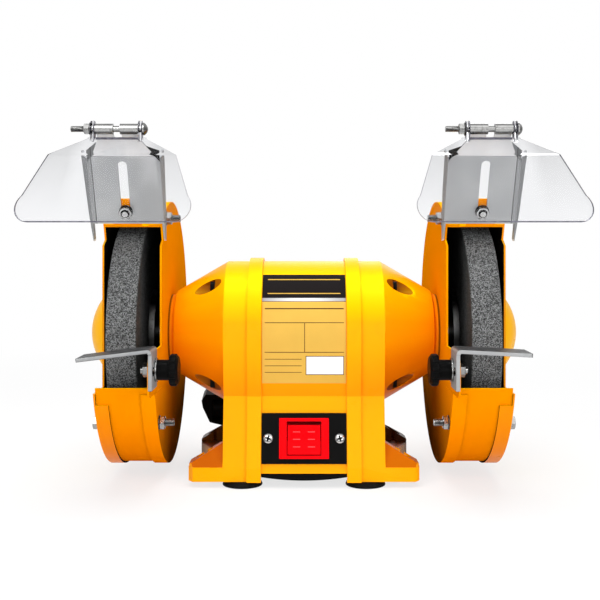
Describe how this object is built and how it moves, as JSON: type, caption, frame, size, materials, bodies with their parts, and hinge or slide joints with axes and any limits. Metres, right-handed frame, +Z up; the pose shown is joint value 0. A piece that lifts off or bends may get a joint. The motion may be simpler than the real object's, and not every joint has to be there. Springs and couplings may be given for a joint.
{
  "type": "bench grinder",
  "caption": "Bench grinder with two guarded wheels on a cast motor housing, clear eye shields, tool rests and a rocker switch.",
  "frame": {"origin": "centre of the four bench holes, on the underside of the foot castings", "axes": "+X along the wheel shaft, -Y towards the operator, +Z up"},
  "size_m": [0.424, 0.2994, 0.301],
  "materials": {
    "housing_enamel": "gloss",
    "guard_enamel": "gloss",
    "zinc_plate": "bright zinc",
    "galvanised_sheet": "satin",
    "ground_steel": "ground",
    "laminated_steel": "matt",
    "winding_copper": "varnished",
    "abrasive_stone": "coarse grit",
    "clear_sheet": "clear",
    "black_plastic": "moulded",
    "black_enamel": "satin",
    "foot_rubber": "matt",
    "switch_red": "gloss",
    "foil_tan": "printed foil",
    "can_aluminium": "drawn"
  },
  "bodies": {
    "housing": {"motor_shell": "housing_enamel", "end_bell_left": "housing_enamel", "end_bell_right": "housing_enamel", "housing_bolts": "zinc_plate", "bottom_pan": "black_enamel", "name_plate": "foil_tan", "rubber_feet": "foot_rubber", "foot_screws": "zinc_plate", "switch_plate": "black_plastic", "switch_screws": "zinc_plate", "switch_bezel": "switch_red", "stator_core": "laminated_steel", "stator_windings": "winding_copper", "bearing_outer_rings": "ground_steel", "capacitor_box": "black_plastic", "run_capacitor": "can_aluminium", "cord_gland": "black_plastic", "inner_guard_left": "guard_enamel", "inner_guard_right": "guard_enamel", "guard_rim_left": "guard_enamel", "guard_rim_right": "guard_enamel", "outer_cover_left": "guard_enamel", "outer_cover_right": "guard_enamel", "guard_bolts": "zinc_plate", "guard_nuts": "zinc_plate", "guard_screws": "zinc_plate", "bracket_bolts": "zinc_plate", "bracket_nuts": "zinc_plate", "rest_nuts": "zinc_plate"},
    "rotor": {"rotor_shaft": "ground_steel", "rotor_core": "laminated_steel", "wheel_left": "abrasive_stone", "wheel_right": "abrasive_stone", "wheel_flanges": "ground_steel", "shaft_nuts": "zinc_plate", "bearing_inner_rings": "ground_steel", "bearing_balls": "ground_steel"},
    "rocker": {"switch_rocker": "switch_red"},
    "shield_bracket_left": {"shield_bracket_left": "galvanised_sheet", "hinge_bolt_left": "zinc_plate", "hinge_nut_left": "zinc_plate"},
    "eye_shield_left": {"eye_shield_left": "clear_sheet"},
    "rest_pivot_left": {"rest_washer_left": "zinc_plate"},
    "tool_rest_left": {"tool_rest_left": "galvanised_sheet"},
    "rest_knob_left": {"rest_knob_left": "black_plastic", "rest_stud_left": "zinc_plate"},
    "shield_bracket_right": {"shield_bracket_right": "galvanised_sheet", "hinge_bolt_right": "zinc_plate", "hinge_nut_right": "zinc_plate"},
    "eye_shield_right": {"eye_shield_right": "clear_sheet"},
    "rest_pivot_right": {"rest_washer_right": "zinc_plate"},
    "tool_rest_right": {"tool_rest_right": "galvanised_sheet"},
    "rest_knob_right": {"rest_knob_right": "black_plastic", "rest_stud_right": "zinc_plate"}
  },
  "joints": [
    {"name": "rotor_spin", "type": "hinge", "parent": "housing", "child": "rotor", "pos_m": [0, 0, 0.12], "axis": [1, 0, 0], "continuous": true},
    {"name": "rocker_flip", "type": "hinge", "parent": "housing", "child": "rocker", "pos_m": [0, -0.06256, 0.03531], "axis": [-1, 0, 0], "range_deg": [0, 14]},
    {"name": "bracket_slide_left", "type": "slide", "parent": "housing", "child": "shield_bracket_left", "axis": [0, 0.4384, -0.8988], "range_m": [0, 0.012]},
    {"name": "shield_lift_left", "type": "hinge", "parent": "shield_bracket_left", "child": "eye_shield_left", "pos_m": [-0.1475, -0.11603, 0.28948], "axis": [-1, 0, 0], "range_deg": [0, 75]},
    {"name": "rest_tilt_left", "type": "hinge", "parent": "housing", "child": "rest_pivot_left", "pos_m": [-0.115, -0.127, 0.101], "axis": [1, 0, 0], "range_deg": [-10, 30]},
    {"name": "rest_slide_left", "type": "slide", "parent": "rest_pivot_left", "child": "tool_rest_left", "axis": [0, 1, 0], "range_m": [0, 0.013]},
    {"name": "knob_turn_left", "type": "hinge", "parent": "housing", "child": "rest_knob_left", "pos_m": [-0.105, -0.127, 0.101], "axis": [1, 0, 0], "continuous": true},
    {"name": "bracket_slide_right", "type": "slide", "parent": "housing", "child": "shield_bracket_right", "axis": [0, 0.4384, -0.8988], "range_m": [0, 0.012]},
    {"name": "shield_lift_right", "type": "hinge", "parent": "shield_bracket_right", "child": "eye_shield_right", "pos_m": [0.1475, -0.11603, 0.28948], "axis": [-1, 0, 0], "range_deg": [0, 75]},
    {"name": "rest_tilt_right", "type": "hinge", "parent": "housing", "child": "rest_pivot_right", "pos_m": [0.115, -0.127, 0.101], "axis": [1, 0, 0], "range_deg": [-10, 30]},
    {"name": "rest_slide_right", "type": "slide", "parent": "rest_pivot_right", "child": "tool_rest_right", "axis": [0, 1, 0], "range_m": [0, 0.013]},
    {"name": "knob_turn_right", "type": "hinge", "parent": "housing", "child": "rest_knob_right", "pos_m": [0.105, -0.127, 0.101], "axis": [1, 0, 0], "continuous": true}
  ]
}
